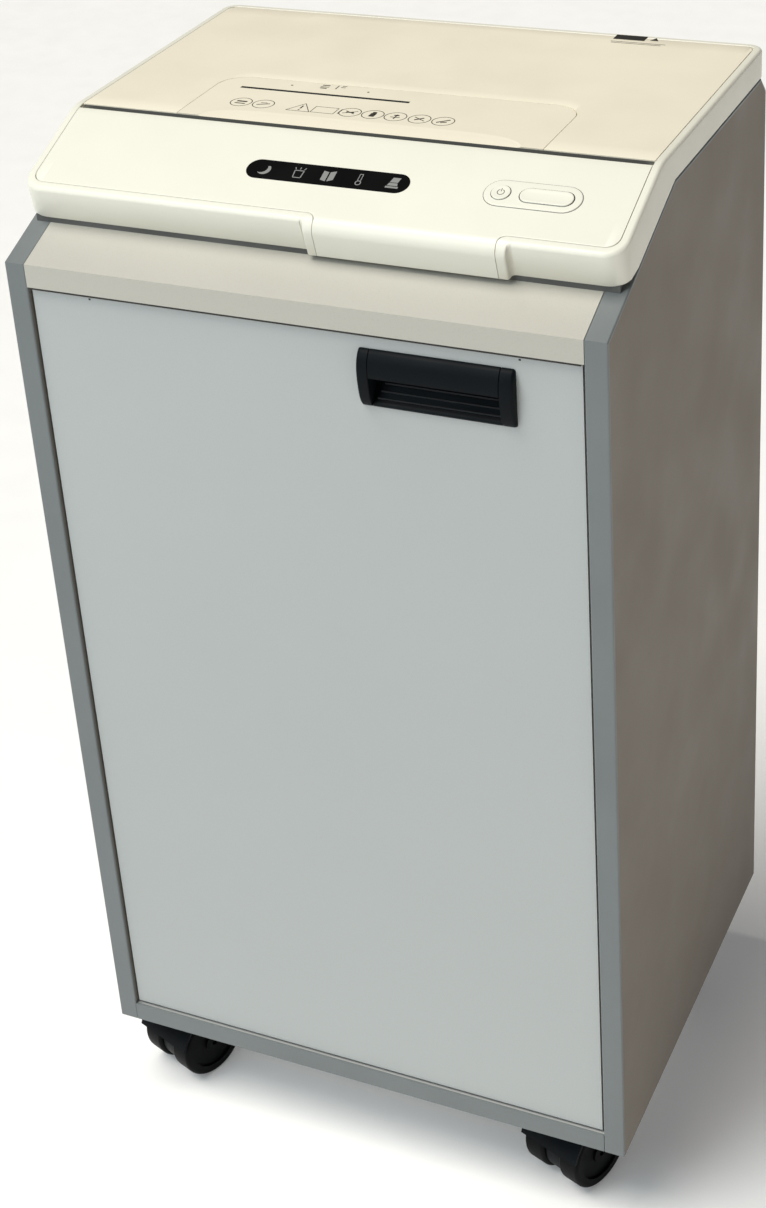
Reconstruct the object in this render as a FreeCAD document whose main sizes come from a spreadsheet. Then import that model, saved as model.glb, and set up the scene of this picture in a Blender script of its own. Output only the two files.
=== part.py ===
import FreeCAD, Part
import Sketcher
import math
import os
import re
from FreeCAD import Placement, Rotation, Vector

# Office paper shredder: laminated chipboard cabinet on twin-wheel casters, with a plastic
# head over the cutting unit. +X is to the right of somebody facing the door, +Y is to the
# back and +Z is up. The origin is on the floor, under the middle of the outer box.
# In the texts below "y" is counted from the cabinet's front plane and "z" from the
# underside of its bottom board; the helpers add front_y and base_z to reach the frame.

SIZES = {
    # cabinet
    "width": 440,
    "depth": 350,
    "board": 16,
    "band": 2,
    "front_y": -173,
    "base_z": 70,
    "front_height": 685,
    "flat_height": 739,
    "pitch": 0.4,
    "slant": 1.0770,
    "bend_depth": 135,
    "chamfer": 12,
    "rail_depth": 44,
    "shelf_z": 540,
    "back_inset": 2,
    # door
    "door_gap": 2,
    "door_recess": 3,
    "door_bottom": 18.5,
    "door_top": 666,
    "pivot_side": 5,
    "pivot_depth": 4,
    "pivot_radius": 2,
    "bush_radius": 3.5,
    "pivot_engage": 10,
    "fit_gap": 0.05,
    # pull handle
    "pull_left": 47,
    "pull_right": 157,
    "pull_bottom": 614.5,
    "pull_top": 656.5,
    "pull_proud": 7,
    "pull_rim": 2,
    "pull_behind": 22,
    "pull_cap": 9,
    # head
    "head_rise": 32,
    "head_flat": 22,
    "head_front": 31,
    "head_lean": 6.5,
    "head_gap": 4.8,
    "head_back": 349,
    "skirt_start": 54,
    "skirt_ramp": 44,
    "seam": 0.4,
    "wall": 3,
    "top_wall": 6,
    "bezel": 6,
    "ledge": 6,
    "panel": 2.8,
    "corner_front": 15,
    "corner_back": 12,
    "panel_corner": 8.6,
    "tab_left": 0,
    "tab_right": 142,
    "tab_proud": 4.5,
    "tab_round": 10,
    # feed
    "slot_front": 108.5,
    "slot_back": 114,
    "slot_half": 121,
    "plate_half": 137,
    "plate_back": 194,
    "plate_corner": 20,
    "disc_slot_left": -117,
    "disc_slot_right": 15.5,
    "disc_slot_y": 173,
    "disc_slot_gap": 3,
    # controls
    "display_length": 120,
    "display_width": 18,
    "display_y": 69.5,
    "cluster_x": 145.7,
    "cluster_y": 71.2,
    "cluster_length": 67,
    "cluster_width": 23.5,
    "power_x": 123.8,
    "power_radius": 6.5,
    "rocker_x": 155.3,
    "rocker_length": 37,
    "rocker_width": 13,
    # cutting unit
    "nip_y": 112,
    "nip_z": 672,
    "axis_gap": 44,
    "cutter_radius": 24.5,
    "root_radius": 17,
    "shaft_radius": 10,
    "cutter_half": 125,
    "disc_width": 4.6,
    "disc_pitch": 10,
    "frame_plate": 5,
    "frame_inner": 128,
    "bush_wall": 3,
    "counter_radius": 6,
    "motor_radius": 42,
    "motor_length": 146,
    # casters
    "caster_x": 172,
    "caster_y": 64,
    "trail": 22,
    "swivel_rest": -20,
    "wheel_radius": 31,
    "wheel_width": 19.5,
    "wheel_inner": 7.5,
    "stem_radius": 4,
    "axle_radius": 3,
}

doc = FreeCAD.newDocument("paper_shredder")
sheet = doc.addObject("Spreadsheet::Sheet", "Dims")
for row, (alias, number) in enumerate(SIZES.items(), start=1):
    sheet.set("A%d" % row, alias)
    sheet.set("B%d" % row, str(number))
    sheet.setAlias("B%d" % row, alias)
doc.recompute()

NODES = []


def text(expression):
    """The expression with each size named in it pointing at its cell."""
    return re.sub(r"[a-z_]+[a-z0-9_]*", lambda word: "Dims." + word.group(0), str(expression))


def bind(thing, prop, expression):
    thing.setExpression(prop, text(expression))


def size(alias):
    return float(sheet.get(alias))


def across(y):
    return "front_y + (%s)" % y


def height(z):
    return "base_z + (%s)" % z


def slope(y, lift="0"):
    """Height of the side panels' slope at y, raised by lift."""
    return "front_height + pitch*(%s) + (%s)" % (y, lift)


def node(label, thing):
    """Keep a finished sub-part under its own name."""
    thing.Label = label
    NODES.append(thing)
    return thing


# ---------------------------------------------------------------- solid helpers


def place(thing, x, y, z):
    bind(thing, "Placement.Base.x", x)
    bind(thing, "Placement.Base.y", across(y))
    bind(thing, "Placement.Base.z", height(z))


def block(x, y, z, length, width, tall):
    """A box from its lowest corner."""
    box = doc.addObject("Part::Box", "block")
    bind(box, "Length", length)
    bind(box, "Width", width)
    bind(box, "Height", tall)
    place(box, x, y, z)
    return box


def rod(x, y, z, radius, length, axis="x"):
    """A cylinder that starts at the given point and runs along +X, +Y or +Z."""
    turns = {"x": Rotation(Vector(0, 1, 0), 90), "y": Rotation(Vector(1, 0, 0), -90), "z": Rotation()}
    cylinder = doc.addObject("Part::Cylinder", "rod")
    cylinder.Placement = Placement(Vector(), turns[axis])
    bind(cylinder, "Radius", radius)
    bind(cylinder, "Height", length)
    place(cylinder, x, y, z)
    return cylinder


def join(*parts):
    fuse = doc.addObject("Part::MultiFuse", "join")
    fuse.Shapes = list(parts)
    fuse.Refine = True
    return fuse


def cut(base, *tools):
    tool = tools[0] if len(tools) == 1 else join(*tools)
    result = doc.addObject("Part::Cut", "cut")
    result.Base = base
    result.Tool = tool
    return result


def common(base, tool):
    result = doc.addObject("Part::Common", "common")
    result.Base = base
    result.Tool = tool
    return result


def group(*parts):
    """Separate solids that share one node."""
    compound = doc.addObject("Part::Compound", "group")
    compound.Links = list(parts)
    return compound


def origin_plane(body, role):
    return [plane for plane in body.Origin.OriginFeatures if plane.Role == role][0]


def outline(sketch, points):
    """A closed polygon whose corners are all bound to the sheet."""
    count = len(points)
    ring = [Vector(math.cos(2 * math.pi * i / count), math.sin(2 * math.pi * i / count), 0) * 100
            for i in range(count)]
    for i in range(count):
        sketch.addGeometry(Part.LineSegment(ring[i], ring[(i + 1) % count]), False)
    for i in range(count):
        sketch.addConstraint(Sketcher.Constraint("Coincident", i, 2, (i + 1) % count, 1))
    for i, (u, v) in enumerate(points):
        first = sketch.addConstraint(Sketcher.Constraint("DistanceX", -1, 1, i, 1, ring[i].x))
        second = sketch.addConstraint(Sketcher.Constraint("DistanceY", -1, 1, i, 1, ring[i].y))
        sketch.setExpression("Constraints[%d]" % first, text(u))
        sketch.setExpression("Constraints[%d]" % second, text(v))


def new_sketch(body, role, name):
    sketch = body.newObject("Sketcher::SketchObject", name)
    sketch.AttachmentSupport = (origin_plane(body, role), [""])
    sketch.MapMode = "FlatFace"
    return sketch


def prism(points, start, length):
    """A PartDesign body: a (y, z) outline padded along +X from start."""
    body = doc.addObject("PartDesign::Body", "prism")
    sketch = new_sketch(body, "YZ_Plane", "outline")
    outline(sketch, [(across(y), height(z)) for y, z in points])
    pad = body.newObject("PartDesign::Pad", "pad")
    pad.Profile = sketch
    bind(pad, "Length", length)
    bind(body, "Placement.Base.x", start)
    body.Tip = pad
    return body


def straight_along(edge, direction):
    if edge.Curve.TypeId != "Part::GeomLine":
        return False
    return abs(abs(edge.tangentAt(edge.FirstParameter).dot(direction)) - 1) < 1e-4


def rounded_block(x, y, z, length, width, tall, radius, side="back"):
    """A box with the two upright edges of its front or back rounded."""
    shape = block(x, y, z, length, width, tall)
    doc.recompute()
    box = shape.Shape.BoundBox
    face = box.YMax if side == "back" else box.YMin
    fillet = doc.addObject("Part::Fillet", "fillet")
    fillet.Base = shape
    fillet.Edges = [(i + 1, size(radius), size(radius)) for i, edge in enumerate(shape.Shape.Edges)
                    if straight_along(edge, Vector(0, 0, 1)) and abs(edge.BoundBox.YMax - face) < 0.01]
    return fillet


def round_edges(body, radius, wanted):
    """Fillet those edges of the body's tip that wanted() picks."""
    doc.recompute()
    tip = body.Tip
    names = ["Edge%d" % (i + 1) for i, edge in enumerate(tip.Shape.Edges) if wanted(edge)]
    fillet = body.newObject("PartDesign::Fillet", "fillet")
    fillet.Base = (tip, names)
    bind(fillet, "Radius", radius)
    body.Tip = fillet
    return body


# ---------------------------------------------------------------- cabinet boards

INSIDE = "width/2 - board"
# where the band's inner line turns from the slope to the flat top
BAND_BEND = "(flat_height - band - front_height + band*slant)/pitch"


def band_line():
    """The side panel's edge under its edge band, from the front foot to the back."""
    return [
        ("band", "0"),
        ("band", slope("band", "-band*slant")),
        (BAND_BEND, "flat_height - band"),
        ("depth - chamfer - band*0.4142", "flat_height - band"),
        ("depth", "flat_height - chamfer - band*1.4142"),
    ]


def side_panel(side, start):
    node("side_panel_" + side, prism(band_line() + [("depth", "0")], start, "board"))


def edge_band(start):
    outer = [
        ("0", "0"),
        ("0", "front_height"),
        ("bend_depth", "flat_height"),
        ("depth - chamfer", "flat_height"),
        ("depth", "flat_height - chamfer"),
    ]
    body = prism(outer + band_line()[::-1], start, "board")
    return round_edges(body, "band*0.6", on_outer_band)


def on_outer_band(edge):
    """True for the long edges of the band's outside, which are worn round."""
    middle = edge.BoundBox.Center
    if abs(edge.BoundBox.XLength) > 0.01:
        return False
    y = middle.y - size("front_y")
    z = middle.z - size("base_z")
    front = abs(y) < 0.01
    sloped = abs(z - size("front_height") - size("pitch") * y) < 0.01 and y < size("bend_depth")
    flat = abs(z - size("flat_height")) < 0.01
    back = abs(y + z - size("depth") + size("chamfer") - size("flat_height")) < 0.01
    return front or sloped or flat or back


side_panel("left", "-width/2")
side_panel("right", INSIDE)
node("bottom_board", block("board - width/2", "band", "0", "width - 2*board", "depth - band", "board"))
bottom_band = block("board - width/2", "0", "0", "width - 2*board", "band", "board")
node("edge_bands", group(edge_band("-width/2"), edge_band(INSIDE), bottom_band))
node("front_rail", prism([("0", "front_height - board*slant"), ("0", "front_height"),
                          ("rail_depth", slope("rail_depth")),
                          ("rail_depth", slope("rail_depth", "-board*slant"))],
                         "board - width/2", "width - 2*board"))
shelf = block("board - width/2", "door_recess + board + 4", "shelf_z", "width - 2*board",
              "depth - back_inset - 2*board - door_recess - 4", "board")
node("mechanism_shelf", cut(shelf, block("-cutter_half", "nip_y - 32", "shelf_z - 1",
                                         "2*cutter_half", "64", "board + 2")))

# ---------------------------------------------------------------- door

DOOR_LEFT = "board + door_gap - width/2"
DOOR_WIDTH = "width - 2*board - 2*door_gap"
PIVOT_X = "board + door_gap + pivot_side - width/2"
PIVOT_Y = "door_recess + pivot_depth"

door = block(DOOR_LEFT, "door_recess", "door_bottom", DOOR_WIDTH, "board", "door_top - door_bottom")
pull_hole = block("pull_left + pull_rim", "door_recess - 1", "pull_bottom + pull_rim",
                  "pull_right - pull_left - 2*pull_rim", "board + 2", "pull_top - pull_bottom - 2*pull_rim")
lower_bore = rod(PIVOT_X, PIVOT_Y, "door_bottom - 1", "bush_radius", "pivot_engage + 1", "z")
upper_bore = rod(PIVOT_X, PIVOT_Y, "door_top - pivot_engage", "bush_radius", "pivot_engage + 1", "z")
node("door_panel", cut(door, pull_hole, lower_bore, upper_bore))


def hinge_bush(z):
    outer = rod(PIVOT_X, PIVOT_Y, z, "bush_radius", "pivot_engage", "z")
    return cut(outer, rod(PIVOT_X, PIVOT_Y, z + " - 1", "pivot_radius + fit_gap", "pivot_engage + 2", "z"))


node("hinge_bushes", group(hinge_bush("door_bottom"), hinge_bush("door_top - pivot_engage")))
pin_lower = rod(PIVOT_X, PIVOT_Y, "board", "pivot_radius", "door_bottom - board + pivot_engage - 1", "z")
pin_upper = rod(PIVOT_X, PIVOT_Y, "door_top - pivot_engage + 1", "pivot_radius",
                slope(PIVOT_Y, "-board*slant - door_top + pivot_engage + 2"), "z")
rail_copy = prism([("0", "front_height - board*slant"), ("0", "front_height"),
                   ("rail_depth", slope("rail_depth")),
                   ("rail_depth", slope("rail_depth", "-board*slant"))],
                  "board - width/2", "width - 2*board")
node("hinge_pins", group(pin_lower, cut(pin_upper, rail_copy)))

# The pull is a moulding bowed out of the door: a hood over a finger scoop, and two end caps.
bow = prism([("door_recess", "pull_bottom"),
             ("door_recess - pull_proud*0.62", "pull_bottom + 9"),
             ("door_recess - pull_proud*0.94", "pull_bottom + 19"),
             ("door_recess - pull_proud", "pull_bottom + 26"),
             ("door_recess - pull_proud*0.88", "pull_bottom + 33"),
             ("door_recess - pull_proud*0.42", "pull_top - 2"),
             ("door_recess", "pull_top")], "pull_left", "pull_right - pull_left")
behind = block("pull_left + pull_rim + 0.3", "door_recess", "pull_bottom + pull_rim + 0.3",
               "pull_right - pull_left - 2*pull_rim - 0.6", "pull_behind",
               "pull_top - pull_bottom - 2*pull_rim - 0.6")
scoop = prism([("door_recess - pull_proud - 1", "pull_bottom + 3"),
               ("door_recess", "pull_bottom + 4.5"),
               ("door_recess + pull_behind - 3", "pull_bottom + 17"),
               ("door_recess + pull_behind - 3", "pull_bottom + 35"),
               ("door_recess", "pull_bottom + 36.5"),
               ("door_recess - 4", "pull_bottom + 29"),
               ("door_recess - 4", "pull_bottom + 23"),
               ("door_recess - pull_proud - 1", "pull_bottom + 22")],
              "pull_left + pull_cap", "pull_right - pull_left - 2*pull_cap")
node("pull_handle", cut(join(bow, behind), scoop))

# a magnet in the cabinet holds a steel plate on the door's free edge
node("catch_magnet", block("width/2 - board - 40", "door_recess + board + 2.5", "door_top - 16",
                           "40", "14", "12"))
node("catch_plate", block("width/2 - board - 40", "door_recess + board", "door_top - 16",
                          "34", "2", "12"))
node("door_sensor", block("width/2 - board - 14", "door_recess + board + 2.5", "door_top - 66",
                          "14", "28", "22"))

# ---------------------------------------------------------------- head

BEND_Y = "(flat_height + head_flat - head_rise - front_height)/pitch"
TOP_Z = "flat_height + head_flat"


def under_top(drop):
    """The head's top line lowered by drop: its lift over the slope, where it turns flat, and how high."""
    turn = "(%s - %s - head_rise - front_height + %s*slant)/pitch" % (TOP_Z, drop, drop)
    return "head_rise - %s*slant" % drop, turn, "%s - %s" % (TOP_Z, drop)


def depth_of(edge):
    """How far behind the cabinet's front an edge's middle is, in millimetres."""
    return edge.BoundBox.Center.y - size("front_y")


def upright(edge):
    """True for a corner edge that stands between a piece's bottom and top."""
    box = edge.BoundBox
    return not straight_along(edge, Vector(1, 0, 0)) and box.ZLength > 8 and box.YLength < 12


def front_corner(edge):
    return upright(edge) and depth_of(edge) < 60


def back_corner(edge):
    return upright(edge) and depth_of(edge) > 300


def nose_edge(edge):
    """True for the edge along the front of the tab."""
    offset = depth_of(edge) - size("head_front") + size("tab_proud")
    return straight_along(edge, Vector(1, 0, 0)) and abs(offset) < 0.01


def head_shell():
    foot = "head_front + head_lean*1.162"
    outer = prism([
        (foot, slope(foot, "seam")),
        ("head_front", slope("head_front", "head_rise")),
        (BEND_Y, TOP_Z),
        ("head_back", TOP_Z),
        ("head_back", "flat_height + seam"),
        ("bend_depth", "flat_height + seam"),
    ], "-width/2", "width")
    round_edges(outer, "corner_front", front_corner)
    round_edges(outer, "corner_back", back_corner)
    tab = prism([
        ("head_front + head_lean - tab_proud", slope("head_front + head_lean - tab_proud", "head_gap")),
        ("head_front - tab_proud", slope("head_front - tab_proud", "head_rise")),
        ("head_front + 20", slope("head_front + 20", "head_rise")),
        ("head_front + 20", slope("head_front + 20", "head_gap")),
    ], "tab_left", "tab_right - tab_left")
    round_edges(tab, "tab_round", nose_edge)
    return join(outer, tab)


def head_hollow():
    lift, turn, flat = under_top("top_wall")
    body = prism([
        ("head_front + head_lean + wall", "front_height - 10"),
        ("head_front + wall + 1", slope("head_front + wall + 1", lift)),
        (turn, flat),
        ("head_back - wall", flat),
        ("head_back - wall", "front_height - 10"),
    ], "wall - width/2", "width - 2*wall")
    round_edges(body, "corner_back - wall", back_corner)
    round_edges(body, "corner_front - wall", front_corner)
    return body


def panel_seat():
    """The recess that the two loose panels lie in, one bezel in from the outside."""
    lift, turn, flat = under_top("wall")
    body = prism([
        ("head_front + bezel", slope("head_front + bezel", lift)),
        (turn, flat),
        ("head_back - bezel", flat),
        ("head_back - bezel", TOP_Z + " + 12"),
        (turn, TOP_Z + " + 12"),
        ("head_front + bezel", slope("head_front + bezel", "head_rise + 14")),
    ], "bezel - width/2", "width - 2*bezel")
    round_edges(body, "corner_front - bezel", upright)
    return body


gap_wedge = prism([
    ("0", slope("0", "head_gap")),
    ("skirt_ramp", slope("skirt_ramp", "head_gap")),
    ("skirt_start", slope("skirt_start", "seam")),
    ("skirt_start", slope("skirt_start", "-20")),
    ("0", slope("0", "-20")),
], "-width/2 - 1", "width + 2")
opening = block("bezel + ledge - width/2", "head_front + bezel + ledge", "front_height - 10",
                "width - 2*(bezel + ledge)", "head_back - head_front - 2*(bezel + ledge)", "120")
tab_space = block("tab_left + bezel + seam", "0", "front_height - 20",
                  "tab_right - tab_left - 2*(bezel + seam)", "head_front + bezel + ledge + 1", "90")
node("head_frame", cut(head_shell(), head_hollow(), panel_seat(), gap_wedge, opening, tab_space))


def slab_line(front, back):
    """A sheet on the head's slope, from front to back, with the panels' thickness."""
    return [
        (front, slope(front, "head_rise - panel*slant")),
        (front, slope(front, "head_rise")),
        (back, slope(back, "head_rise")),
        (back, slope(back, "head_rise - panel*slant")),
    ]


def control_slab():
    front = "head_front + bezel + seam"
    sheet_piece = prism(slab_line(front, "slot_front"), "bezel + seam - width/2", "width - 2*(bezel + seam)")
    body = common(sheet_piece, rounded_block("bezel + seam - width/2", front, "front_height",
                                             "width - 2*(bezel + seam)", "slot_front - head_front",
                                             "100", "panel_corner", "front"))
    nose = "head_front - tab_proud"
    foot = "head_front + head_lean - tab_proud"
    tab = prism([
        (foot, slope(foot, "head_gap")),
        (nose, slope(nose, "head_rise")),
        ("head_front + 20", slope("head_front + 20", "head_rise")),
        ("head_front + 20", slope("head_front + 20", "head_rise - panel*slant")),
        (nose + " + 9", slope(nose + " + 9", "head_rise - panel*slant")),
        (nose + " + 4", slope(nose + " + 4", "head_rise - panel*slant - 6")),
        (foot + " + panel", slope(foot + " + panel", "head_gap")),
    ], "tab_left + bezel + 2*seam", "tab_right - tab_left - 2*(bezel + 2*seam)")
    round_edges(tab, "tab_round", nose_edge)
    return join(body, tab)


# The controls lie on the slope, so their tools are turned with it.
SLOPE_TURN = Rotation(Vector(1, 0, 0), math.degrees(math.atan(size("pitch"))))


def on_slope(thing, x, y, lift, base):
    """Lay a part of the controls on the head's slope, its own +Z along the slope's normal."""
    thing.Placement = Placement(Vector(), SLOPE_TURN * base)
    place(thing, x, "%s - (%s)*pitch/slant" % (y, lift), slope(y, "head_rise + (%s)/slant" % lift))
    return thing


def slope_pill(x, y, length, width, low, tall):
    """A round-ended plate on the slope: a block and two cylinders, centred on x and y."""
    straight = doc.addObject("Part::Box", "block")
    bind(straight, "Length", "%s - %s" % (length, width))
    bind(straight, "Width", width)
    bind(straight, "Height", tall)
    on_slope(straight, "%s - (%s - %s)/2" % (x, length, width), "%s - (%s)/(2*slant)" % (y, width),
             low, Rotation())
    ends = []
    for sign in ("+", "-"):
        end = doc.addObject("Part::Cylinder", "rod")
        bind(end, "Radius", "(%s)/2" % width)
        bind(end, "Height", tall)
        on_slope(end, "%s %s (%s - %s)/2" % (x, sign, length, width), y, low, Rotation())
        ends.append(end)
    return join(straight, *ends)


def slope_disc(x, y, radius, low, tall):
    disc = doc.addObject("Part::Cylinder", "rod")
    bind(disc, "Radius", radius)
    bind(disc, "Height", tall)
    return on_slope(disc, x, y, low, Rotation())


def slope_rod(x, y, lift, radius, length):
    """A cylinder that lies in the slope and points up it, centred on x and y."""
    cylinder = doc.addObject("Part::Cylinder", "rod")
    bind(cylinder, "Radius", radius)
    bind(cylinder, "Height", length)
    return on_slope(cylinder, x, "%s - (%s)/(2*slant)" % (y, length), lift, Rotation(Vector(1, 0, 0), -90))


display_cut = slope_pill("0", "display_y", "display_length + 2*seam", "display_width + 2*seam", "-6", "12")
cluster_cut = slope_pill("cluster_x", "cluster_y", "cluster_length + 2*seam", "cluster_width + 2*seam",
                         "-6", "12")
node("control_panel", cut(control_slab(), display_cut, cluster_cut))
node("display_window", slope_pill("0", "display_y", "display_length", "display_width", "-2.8", "3"))
surround = slope_pill("cluster_x", "cluster_y", "cluster_length", "cluster_width", "-2.8", "3.4")
power_cut = slope_disc("power_x", "cluster_y", "power_radius + seam", "-6", "12")
rocker_cut = slope_pill("rocker_x", "cluster_y", "rocker_length + 2*seam", "rocker_width + 2*seam",
                        "-6", "12")
pivot_hole = slope_rod("rocker_x", "cluster_y", "-1.1", "1.25", "rocker_width + 5")
node("button_surround", cut(surround, power_cut, rocker_cut, pivot_hole))
node("power_button", slope_disc("power_x", "cluster_y", "power_radius", "-4", "6"))
rocker_plate = slope_pill("rocker_x", "cluster_y", "rocker_length", "rocker_width", "-4", "6")
rocker_pivot = slope_rod("rocker_x", "cluster_y", "-1.1", "1.2", "rocker_width + 4")
node("feed_rocker", join(rocker_plate, rocker_pivot))

board_plate = doc.addObject("Part::Box", "block")
bind(board_plate, "Length", "240")
bind(board_plate, "Width", "42")
bind(board_plate, "Height", "1.6")
on_slope(board_plate, "-60", "50", "-13", Rotation())
node("control_circuit_board", board_plate)


plate_hole = rounded_block("-plate_half - seam", "slot_back - 5", TOP_Z + " - 6", "2*(plate_half + seam)",
                           "plate_back + seam - slot_back + 5", "12", "plate_corner")
top_slab = rounded_block("bezel + seam - width/2", "slot_back", TOP_Z + " - panel",
                         "width - 2*(bezel + seam)", "head_back - bezel - seam - slot_back", "panel",
                         "panel_corner")
node("top_panel", cut(top_slab, plate_hole))
plate = rounded_block("-plate_half", "slot_back", TOP_Z + " - panel", "2*plate_half",
                      "plate_back - slot_back", "panel", "plate_corner")
disc_slot = block("disc_slot_left", "disc_slot_y - disc_slot_gap/2", TOP_Z + " - 6",
                  "disc_slot_right - disc_slot_left", "disc_slot_gap", "12")
bevel = prism([("slot_back - 1", TOP_Z + " - 2.6"), ("slot_back + 17", TOP_Z + " + 0.1"),
               ("slot_back - 1", TOP_Z + " + 2")], "1 - slot_half", "2*slot_half - 2")
node("feed_plate", cut(plate, disc_slot, bevel))

# dark throat under the groove between the two panels: a sill and a flat funnel to the nip
sill = block("bezel + ledge - width/2 + 1", "slot_front - 8", TOP_Z + " - 11",
             "width - 2*(bezel + ledge + 1)", "slot_back - slot_front + 16", "3.3")
duct = block("-frame_inner", "slot_front - 3", "nip_z + 27", "2*frame_inner",
             "slot_back - slot_front + 6", TOP_Z + " - 9 - nip_z - 27")
throat_hole = block("-slot_half", "slot_front", "nip_z + 20", "2*slot_half", "slot_back - slot_front", "90")
node("infeed_throat", cut(join(sill, duct), throat_hole))
disc_duct = block("disc_slot_left - 3", "disc_slot_y - 5", TOP_Z + " - panel - 27",
                  "disc_slot_right - disc_slot_left + 6", "10", "27")
node("disc_throat", cut(disc_duct, block("disc_slot_left", "disc_slot_y - 2.2", TOP_Z + " - 31",
                                         "disc_slot_right - disc_slot_left", "4.4", "30")))
gasket_front = "head_front + head_lean + 1.5"
node("head_gasket", prism([(gasket_front, slope(gasket_front)),
                           (gasket_front, slope(gasket_front, "head_gap")),
                           (gasket_front + " + 4.5", slope(gasket_front + " + 4.5", "head_gap")),
                           (gasket_front + " + 4.5", slope(gasket_front + " + 4.5"))],
                          "5 - width/2", "width - 10"))

# ---------------------------------------------------------------- cutting unit

FRONT_Y = "nip_y - axis_gap/2"
REAR_Y = "nip_y + axis_gap/2"
PLATE_Z = "shelf_z + board"
COUNTER_Y = "nip_y + axis_gap/2 + 49.33"
COUNTER_Z = "nip_z - 17.96"
MOTOR_Y = "nip_y + axis_gap/2 + 49.33 + 37.89"
MOTOR_Z = "nip_z - 17.96 - 21.88"


def bush(x, y, z, radius, length):
    outer = rod(x, y, z, "%s + bush_wall" % radius, length)
    return cut(outer, rod(x + " - 1", y, z, "%s + fit_gap" % radius, length + " + 2"))


def side_frame(x, width, extra):
    plate = block(x, "nip_y - 54", PLATE_Z, "frame_plate", width, "nip_z + 38 - shelf_z - board")
    holes = [rod(x + " - 1", y, "nip_z", "shaft_radius + bush_wall", "frame_plate + 2")
             for y in (FRONT_Y, REAR_Y)]
    return cut(plate, *(holes + extra))


RIGHT_X = "frame_inner"
LEFT_X = "-frame_inner - frame_plate"
motor_hole = rod(RIGHT_X + " - 1", MOTOR_Y, MOTOR_Z, "15", "frame_plate + 2")
counter_hole = rod(RIGHT_X + " - 1", COUNTER_Y, COUNTER_Z, "counter_radius + bush_wall", "frame_plate + 2")
node("side_frame_left", side_frame(LEFT_X, "108", []))
node("side_frame_right", side_frame(RIGHT_X, "208", [motor_hole, counter_hole]))
OUTER_X = "frame_inner + 62"
outer_plate = block(OUTER_X, REAR_Y + " - 18", COUNTER_Z + " - 42", "3", "92", "88")
node("gearbox_plate", cut(outer_plate,
                          rod(OUTER_X + " - 1", REAR_Y, "nip_z", "shaft_radius - 4 + bush_wall", "5"),
                          rod(OUTER_X + " - 1", COUNTER_Y, COUNTER_Z, "counter_radius + bush_wall", "5")))
node("bearing_bushes", group(*(
    [bush(x, y, "nip_z", "shaft_radius", "frame_plate")
     for x in (LEFT_X, RIGHT_X) for y in (FRONT_Y, REAR_Y)]
    + [bush(RIGHT_X, COUNTER_Y, COUNTER_Z, "counter_radius", "frame_plate"),
       bush(OUTER_X, COUNTER_Y, COUNTER_Z, "counter_radius", "3"),
       bush(OUTER_X, REAR_Y, "nip_z", "shaft_radius - 4", "3")])))
tie_points = [("nip_y - 40", PLATE_Z + " + 12"), ("nip_y - 40", "nip_z + 30"),
              ("nip_y + 40", PLATE_Z + " + 12"), ("nip_y + 36", "nip_z + 30")]
spacer_points = [(COUNTER_Y + " + 18", COUNTER_Z + " + 36"), (REAR_Y + " - 12", COUNTER_Z + " - 37"),
                 (COUNTER_Y + " + 18", COUNTER_Z + " - 37")]
node("tie_rods", group(*(
    [rod("-frame_inner", y, z, "4", "2*frame_inner") for y, z in tie_points]
    + [rod("frame_inner + frame_plate", y, z, "3", "62 - frame_plate") for y, z in spacer_points])))


def cutter(y, first, count, right_end, thin_end):
    """One cutting roller: a root cylinder with its discs patterned along it, and its journals."""
    body = doc.addObject("PartDesign::Body", "cutter")
    core_sketch = new_sketch(body, "YZ_Plane", "core")
    core_sketch.addGeometry(Part.Circle(Vector(0, 0, 0), Vector(0, 0, 1), 10), False)
    core_sketch.addConstraint(Sketcher.Constraint("Coincident", 0, 3, -1, 1))
    radius = core_sketch.addConstraint(Sketcher.Constraint("Radius", 0, 10))
    core_sketch.setExpression("Constraints[%d]" % radius, text("root_radius"))
    core = body.newObject("PartDesign::Pad", "core_pad")
    core.Profile = core_sketch
    bind(core, "Length", "2*cutter_half")
    disc_sketch = new_sketch(body, "YZ_Plane", "disc")
    disc_sketch.addGeometry(Part.Circle(Vector(0, 0, 0), Vector(0, 0, 1), 10), False)
    disc_sketch.addConstraint(Sketcher.Constraint("Coincident", 0, 3, -1, 1))
    radius = disc_sketch.addConstraint(Sketcher.Constraint("Radius", 0, 10))
    disc_sketch.setExpression("Constraints[%d]" % radius, text("cutter_radius"))
    bind(disc_sketch, "AttachmentOffset.Base.z", first)
    disc = body.newObject("PartDesign::Pad", "disc_pad")
    disc.Profile = disc_sketch
    bind(disc, "Length", "disc_width")
    doc.recompute()
    pattern = body.newObject("PartDesign::LinearPattern", "disc_pattern")
    pattern.Originals = [disc]
    pattern.Direction = (disc_sketch, ["N_Axis"])
    bind(pattern, "Length", "disc_pitch*%d" % (count - 1))
    pattern.Occurrences = count
    body.Tip = pattern
    bind(body, "Placement.Base.x", "-cutter_half")
    bind(body, "Placement.Base.y", across(y))
    bind(body, "Placement.Base.z", height("nip_z"))
    journals = [rod("-frame_inner - frame_plate - 4", y, "nip_z", "shaft_radius", right_end)]
    if thin_end:
        journals.append(rod("frame_inner + 47", y, "nip_z", "shaft_radius - 4", "18"))
    return join(body, *journals)


node("cutter_front", cutter(FRONT_Y, "2.7", 25, "2*frame_inner + frame_plate + 4 + 24", False))
node("cutter_rear", cutter(REAR_Y, "7.7", 24, "2*frame_inner + frame_plate + 4 + 47", True))


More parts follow.
